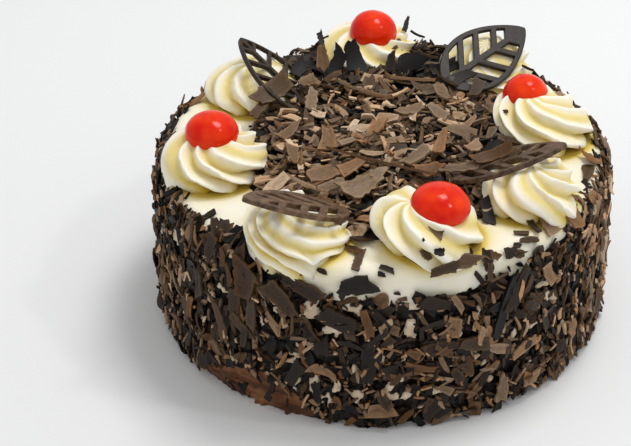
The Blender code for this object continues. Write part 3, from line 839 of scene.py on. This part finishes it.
# The larger shavings on the heap: centre in mm, length, width, heading in degrees, rise of the
# far end, tip about the length, roll and shade.
LARGE_TOP = [
    (-47, 20, 90, 19, 9, 38, 14, 34, 0.35, 0.44), (-12, 49, 91, 15, 8, 108, 50, 0, 0.3, -0.2),
    (-26, 48, 91, 11, 5, 100, 62, 0, 0.1, 0.56), (-19, 48, 89, 12, 6, 60, 45, 20, 0.2, -0.1),
    (13, 48, 89, 13, 8, 10, 14, 50, 0.2, -0.1), (4, 48, 89, 9, 4, 80, 55, 0, 0.1, 0.25),
    (12, 37, 87, 21, 4, 171, 0, 25, 0.06, 0.56), (-32, 33, 87, 8, 7, 20, 6, 10, 0.2, 0.54),
    (-30, 17, 87, 14, 5, 88, 10, 12, 0.3, 0.60), (-4, -8, 86, 18, 5, 66, 4, -10, 0.2, 0.62),
    (-22, -14, 86, 14, 6, 91, 9, 8, 0.2, 0.56), (24, -20, 88, 16, 4.5, 78, 8, 0, 0.6, 0.60),
    (14, -26, 86, 15, 7, 50, 4, -8, 0.2, 0.58), (3, -34, 87, 46, 2.6, 155, 0, 35, 0.03, 0.38),
    (-8, -49, 85, 15, 9, 32, 6, 24, 0.2, 0.62), (-29, -47, 85, 17, 4.5, 148, 4, 30, 0.1, 0.66),
    (-3, -42, 85, 11, 6, 75, 8, 10, 0.2, 0.60), (-24, -38, 85, 12, 8, 20, 4, 15, 0.2, 0.56),
    (-20, -49, 86, 12, 4, 22, 4, 35, 0.1, 0.58), (19, -38, 87, 11, 6, 12, 6, 20, 0.5, 0.52),
    (32, -37, 87, 16, 3.6, 10, 2, 25, 0.1, 0.52), (38, -21, 87, 6, 5, 30, 6, 15, 0.1, 0.66),
    (45, -33, 91, 18, 5, 11, 16, 30, 0.6, 0.42), (12, 10, 87, 12, 5, 15, 4, 10, 0.3, 0.58),
    (24, 8, 87, 12, 5, 130, 6, -12, 0.3, 0.60), (-2, 22, 87, 14, 4.5, 160, 4, 18, 0.2, 0.50),
    (-14, 30, 87, 12, 4, 150, 8, 30, 0.2, 0.52), (26, 24, 87, 11, 5, 110, 6, 0, 0.2, 0.56),
    (-38, -6, 86, 13, 4, 60, 6, 20, 0.2, 0.52), (-36, -24, 85, 11, 4.5, 100, 10, 12, 0.2, 0.54),
    (-12, -34, 86, 13, 5, 40, 6, 20, 0.2, 0.58), (28, 44, 88, 14, 5, 8, 8, 40, 0.2, 0.10),
    (-36, 44, 88, 9, 6, 60, 20, 20, 0.2, 0.05), (36, 54, 88, 13, 3, 12, 10, 20, 0.1, 0.20),
    (20, 56, 88, 10, 3, 160, 5, 30, 0.1, 0.30), (-47, 27, 88, 12, 5, 20, 10, 30, 0.2, 0.20),
    (-42, 34, 88, 11, 5, 150, 12, 25, 0.2, 0.10), (-52, 12, 86, 12, 4, 60, 8, 25, 0.2, 0.40),
    (34, 36, 88, 12, 5, 30, 10, 30, 0.2, 0.15), (28, 34, 88, 12, 4, 130, 8, 30, 0.2, 0.30),
    (41, 28, 87, 12, 5, 70, 10, 10, 0.2, 0.35), (44, -24, 87, 12, 6, 60, 14, -10, 0.2, -0.1),
]


def placed_shavings(name, seed, rows, limit):
    rng = np.random.default_rng(seed)
    x, y, z, length, width, heading, rise, tip, roll, shades = np.array(rows).T
    heading, rise, tip = np.radians(heading), np.radians(rise), np.radians(tip)
    level = np.stack([np.cos(heading), np.sin(heading), 0 * heading], -1)
    up = np.array([0, 0, 1.0]) + 0 * level
    along = level * np.cos(rise)[:, None] + up * np.sin(rise)[:, None]
    outward = rotate_about(np.cross(along, np.cross(up, along)), along, tip)
    outward /= np.linalg.norm(outward, axis=1, keepdims=True)
    size = length * MM, width * MM, rng.uniform(0.8, 1.2, len(x)) * MM, roll
    shavings(
        name, rng, np.stack([x, y, z], -1) * MM, along, outward, size, shades - 0.08, 0.3,
        (0.2, 0.6), 9, 4, limit,
    )


placed_shavings("large_heap_flakes", 14, LARGE_TOP, keep_on_top)

# Stray shavings on the cream and the rosettes, in the same terms.
STRAY = [
    (-11, -80, 75.9, 7, 3, 141, -1, 1, 0.1, 0.42), (-9, -86, 74.9, 11, 3.4, 77, 10, 0, 0.1, 0.42),
    (2, -91, 74.6, 6, 2, 163, 13, -30, 0.1, 0.20), (0, -93, 73.3, 3, 2, 173, 12, -58, 0.1, 0.10),
    (-23, -90, 72.8, 4, 2, 158, 14, -59, 0.1, 0.20), (-8, -75, 78, 11, 4, 46, -22, -2, 0.1, 0.25),
    (60, -64, 76.6, 8, 2.4, 122, 10, 2, 0.1, 0.30), (55, -68, 75.9, 6, 2, 180, 4, -3, 0.1, 0.35),
    (58, -71, 74.8, 8, 2.4, 24, -12, 40, 0.1, 0.35), (53, -75, 74.6, 3, 2, 13, -16, 37, 0.1, 0.20),
    (21, -84, 88, 7, 4, 140, 28, -30, 0.2, 0.42), (16, -89, 86, 4, 2.6, 100, -30, 40, 0.1, 0.15),
    (17, -90, 80.5, 5, 3, 159, 48, -37, 0.3, 0.40), (22, -92, 83, 4, 3, 18, -12, 47, 0.2, 0.05),
    (42, -56, 78, 11, 5, 102, 30, 1, 0.2, 0.15), (39, -55, 76.5, 5, 2, 69, 20, 2, 0.1, 0.45),
    (32, -88, 76.2, 12, 5.5, 16, -4, 52, 0.1, 0.46), (24, -92, 75, 11, 4, 12, 10, 60, 0.2, 0.36),
    (43, -82, 74.6, 6, 3.4, 7, -18, 42, 0.1, 0.42), (42, -87, 70, 7, 2, 100, 72, 0, 0.1, 0.40),
    (54, -77, 72, 5, 3, 34, -12, 70, 0.1, 0.40), (-17, -79, 88, 3, 1.6, 170, 29, 50, 0.1, 0.30),
    (-12, -73, 85.5, 3, 2, 62, -21, -10, 0.1, 0.30), (52, 3, 90, 3, 1.6, 118, -19, 9, 0.1, 0.35),
    (11, 77, 92.5, 8, 2, 75, 25, 0, 0.2, 0.20), (-27, 67, 90, 8, 2.4, 109, 40, 0, 0.2, 0.20),
    (64, 44, 88, 5, 2.6, 150, 10, 30, 0.2, 0.10), (72, 36, 84, 6, 3, 140, 20, 30, 0.2, 0.10),
    (91, 4, 76.5, 9, 3.4, 96, 20, 60, 0.2, 0.40), (87, -13, 76.6, 9, 6, 117, 0, 30, 0.2, 0.60),
    (-27, 72, 84, 9, 6, 20, 20, 60, 0.3, 0.15), (-20, 78, 86, 5, 3, 60, 10, 20, 0.2, 0.20),
    (8, 66, 88, 6, 2.4, 100, 30, 20, 0.2, 0.45), (2, 62, 88, 10, 1.6, 12, 5, 30, 0.1, 0.30),
    (-33, 64, 82, 7, 4, 40, 10, 30, 0.2, 0.15), (16, 84, 84, 6, 3, 160, 20, 30, 0.2, 0.10),
]
placed_shavings("stray_shavings", 15, STRAY, keep_in_reach)


# THE CHERRIES
# Four pitted glace cherries, boiled in syrup until they are clear, glossy and a little
# misshapen, each pressed into the peak of a rosette.

# Each cherry: its centre, half its width and half its height in mm, and its lean to the right
# and to the front in degrees.
CHERRIES = {
    1: ((-69.6, -17.8, 92.0), 11.3, 8.8, (2, 0)),
    3: ((22.9, -71.0, 90.8), 12.0, 8.0, (8, 4)),
    5: ((61.1, 15.2, 90.0), 10.2, 10.0, (-6, 0)),
    7: ((-3.8, 71.2, 91.8), 10.8, 9.7, (0, 0)),
}
CHERRY_ROWS = 48
CHERRY_COLUMNS = 72

# Candied cherry: flesh full of sugar syrup, dyed red. Light goes in and comes back a deep
# scarlet, turning orange where the flesh is thin, under a wet, clear gloss.
candied_cherry = empty_material("candied_cherry")
cherry_place = add(candied_cherry, "TexCoord")
flesh = add(
    candied_cherry,
    "TexNoise",
    {"Vector": cherry_place.outputs["Object"], "Scale": 130.0, "Detail": 2.0},
)
red = add(
    candied_cherry,
    "ValToRGB",
    {"Fac": flesh.outputs["Fac"]},
    stops=[(0.3, "D81204"), (0.75, "F04409")],
)
skin = add(
    candied_cherry,
    "Bump",
    {"Height": flesh.outputs["Fac"], "Strength": 0.25, "Distance": 0.4 * MM},
)
cherry_shader = add(
    candied_cherry,
    "BsdfPrincipled",
    {
        "Base Color": red.outputs["Color"],
        "Roughness": 0.16,
        "IOR": 1.36,
        "Specular IOR Level": 0.3,
        "Subsurface Weight": 0.6,
        "Subsurface Radius": (1.0, 0.2, 0.03),
        "Subsurface Scale": 5 * MM,
        "Normal": skin.outputs["Normal"],
    },
)
add(candied_cherry, "OutputMaterial", {"Surface": cherry_shader.outputs["BSDF"]})


def make_cherry(number):
    centre, half_width, half_height, (right, front) = CHERRIES[number]
    ups = np.radians(np.linspace(-89, 89, CHERRY_ROWS))
    turns = np.arange(CHERRY_COLUMNS) * 2 * math.pi / CHERRY_COLUMNS
    up, round_it = np.meshgrid(ups, turns, indexing="ij")
    body = cylinder(np.cos(up), round_it, 0 * up)
    body[..., 2] = np.sin(up)
    body = body.reshape(-1, 3)
    dents = 0.035 * lumps(body, 0.9, number) + 0.012 * lumps(body, 0.35, number + 9)
    body *= (1 - 0.02 + dents)[:, None]
    body *= np.array([half_width, half_width, half_height]) * MM
    body = body @ np.array(Euler((math.radians(front), math.radians(right), 0)).to_matrix()).T
    points = body + np.array(centre) * MM
    piece(
        f"glace_cherry_{number}", points, ring_quads(CHERRY_ROWS, CHERRY_COLUMNS), candied_cherry,
        "glace_cherry", [f"cherry_{number}"],
    )


for number in CHERRIES:
    make_cherry(number)


# THE CHOCOLATE LEAVES
# Four openwork leaves cast from dark chocolate: a rim, a midrib and side veins that leave four
# or five openings a side, with a closed tip. Each leans on a rosette, its base in the heap.

# Moulded couverture: set against a smooth mould, so it is darker and shinier than the shavings,
# with fine streaks where it was brushed in. Each leaf is painted paler or darker by its own amount:
# painted light and sheen where light falls on its face, painted shade where it faces away.
moulded_couverture = empty_material("moulded_couverture")
leaf_spot = add(moulded_couverture, "TexCoord")
brushed = add(
    moulded_couverture,
    "TexNoise",
    {"Vector": leaf_spot.outputs["Object"], "Scale": 300.0, "Detail": 4.0, "Roughness": 0.75},
)
leaf_painted_light = add(moulded_couverture, "Attribute", attribute_name="leaf_painted_light")
brushed_and_lit = add(
    moulded_couverture,
    "Math",
    {0: brushed.outputs["Fac"], 1: leaf_painted_light.outputs["Fac"]},
    operation="ADD",
)
leaf_colour = add(
    moulded_couverture,
    "ValToRGB",
    {"Fac": brushed_and_lit.outputs["Value"]},
    stops=[(0.35, "1C130B"), (1.0, "8A6C50"), (0.6, "3B2B1E"), (0.8, "664E39")],
)
leaf_bump = add(
    moulded_couverture,
    "Bump",
    {"Height": brushed.outputs["Fac"], "Strength": 0.35, "Distance": 0.3 * MM},
)
leaf_shader = add(
    moulded_couverture,
    "BsdfPrincipled",
    {
        "Base Color": leaf_colour.outputs["Color"],
        "Roughness": 0.42,
        "IOR": 1.46,
        "Specular IOR Level": 0.35,
        "Normal": leaf_bump.outputs["Normal"],
    },
)
add(moulded_couverture, "OutputMaterial", {"Surface": leaf_shader.outputs["BSDF"]})


def along_vein(start, shift, distance):
    foot = start * MM + shift / math.sin(LEAF_VEIN_ANGLE)
    return foot + distance / math.tan(LEAF_VEIN_ANGLE), distance


def vein_end(start, shift, stout):
    low, high = 0.0, LEAF_WIDTH / 2
    for _ in range(40):
        middle = (low + high) / 2
        along, out = along_vein(start, shift, middle)
        if out < leaf_half_width(along) - LEAF_RIM * stout:
            low = middle
        else:
            high = middle
    return low


def leaf_window(start, following, stout):
    inner = LEAF_MIDRIB / 2 * stout
    near, far = LEAF_VEIN / 2 * stout, -LEAF_VEIN / 2 * stout
    near_out = along_vein(start, near, vein_end(start, near, stout))
    far_out = along_vein(following, far, vein_end(following, far, stout))
    corners = [along_vein(start, near, inner), along_vein(following, far, inner), far_out]
    for part in np.linspace(0.9, 0.1, 8):
        along = near_out[0] + (far_out[0] - near_out[0]) * part
        corners.append((along, leaf_half_width(along) - LEAF_RIM * stout))
    return [*corners, near_out]


LEAF_EDGE_ROUNDING = 0.5 * MM
LEAF_STATIONS = 48


def make_leaf(number):
    name = f"openwork_leaf_{number}"
    curve = bpy.data.curves.new(name, "CURVE")
    curve.dimensions = "2D"
    curve.fill_mode = "BOTH"
    curve.bevel_depth = LEAF_EDGE_ROUNDING
    curve.bevel_resolution = 3
    curve.offset = -LEAF_EDGE_ROUNDING
    curve.extrude = LEAF_THICKNESS / 2 - LEAF_EDGE_ROUNDING
    stations = [
        LEAF_LENGTH * (1 - math.cos(math.pi * i / LEAF_STATIONS)) / 2
        for i in range(1, LEAF_STATIONS)
    ]
    sides = [(along, leaf_half_width(along)) for along in stations]
    outline = [(0.0, 0.0), *[(a, -h) for a, h in sides], (LEAF_LENGTH, 0.0)]
    outline += [(a, h) for a, h in reversed(sides)]
    loops = [outline]
    starts = LEAF_VEIN_STARTS[number]
    for start, following in zip(starts, starts[1:]):
        window = leaf_window(start, following, LEAF_STOUTNESS[number])
        loops += [window, [(along, -out) for along, out in reversed(window)]]
    for loop in loops:
        spline = curve.splines.new("POLY")
        spline.points.add(len(loop) - 1)
        for point, (along, out) in zip(spline.points, loop):
            point.co = (along, out, 0, 1)
        spline.use_cyclic_u = True
    shape = bpy.data.objects.new(name + "_curve", curve)
    bpy.context.collection.objects.link(shape)
    mesh = bpy.data.meshes.new_from_object(shape)
    bpy.data.objects.remove(shape)
    mesh.transform(leaf_place(number))
    mesh.shade_smooth()
    mesh.set_sharp_from_angle(angle=math.radians(50))
    painted_light_data = mesh.attributes.new("leaf_painted_light", "FLOAT", "POINT").data
    painted_light_data.foreach_set("value", [LEAF_PAINTED_LIGHT[number]] * len(mesh.vertices))
    mesh.materials.clear()
    mesh.materials.append(moulded_couverture)
    leaf = bpy.data.objects.new(name, mesh)
    bpy.context.collection.objects.link(leaf)
    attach(leaf, "root")
    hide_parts(f"leaf_{number}")


for number in LEAVES:
    make_leaf(number)


# THE STUDIO
# A pale floor under a broad soft light from above, with a small brighter lamp at the right.

FLOOR_HALF = 3.0
LIT_POINT = (0, 0, 0.07)
LENS = 112.8837
SENSOR = 36
CAMERA_DISTANCE = 0.85
AIM_HEIGHT = 0.0488

floor_paint = empty_material("studio_floor")
floor_shader = add(
    floor_paint, "BsdfPrincipled", {"Base Color": linear("EBECEC"), "Roughness": 0.9}
)
add(floor_paint, "OutputMaterial", {"Surface": floor_shader.outputs["BSDF"]})
floor_mesh = bpy.data.meshes.new("floor")
floor_mesh.from_pydata(
    [(x * FLOOR_HALF, y * FLOOR_HALF, 0.0) for x, y in ((-1, -1), (1, -1), (1, 1), (-1, 1))],
    [],
    [(0, 1, 2, 3)],
)
floor_mesh.materials.append(floor_paint)
floor = bpy.data.objects.new("floor", floor_mesh)
bpy.context.collection.objects.link(floor)


def lamp(name, place, size, power):
    light = bpy.data.lights.new(name, "AREA")
    light.size, light.energy = size, power
    made = bpy.data.objects.new(name, light)
    made.location = place
    towards = Vector(LIT_POINT) - Vector(place)
    made.rotation_euler = towards.to_track_quat("-Z", "Y").to_euler()
    bpy.context.collection.objects.link(made)


lamp("ceiling_softbox", (0.3, 0.22, 1.2), 0.4, 7.0)
lamp("small_lamp", (0.66, -0.21, 1.02), 0.09, 1.2)
room = bpy.data.worlds.new("room")
room.use_nodes = True
room.node_tree.nodes["Background"].inputs["Color"].default_value = linear("FAFAFA")
room.node_tree.nodes["Background"].inputs["Strength"].default_value = 0.66
bpy.context.scene.world = room

camera_data = bpy.data.cameras.new("camera")
camera_data.sensor_width = SENSOR
camera_data.lens = LENS
camera_data.shift_x = -0.1047
camera_data.shift_y = -0.0397
camera = bpy.data.objects.new("camera", camera_data)
pitch = math.radians(32.5)
camera.location = (
    0, -CAMERA_DISTANCE * math.cos(pitch), AIM_HEIGHT + CAMERA_DISTANCE * math.sin(pitch)
)
camera.rotation_euler = (math.pi / 2 - pitch, 0, 0)
bpy.context.collection.objects.link(camera)
bpy.context.scene.camera = camera
bpy.context.scene.view_settings.view_transform = "Standard"
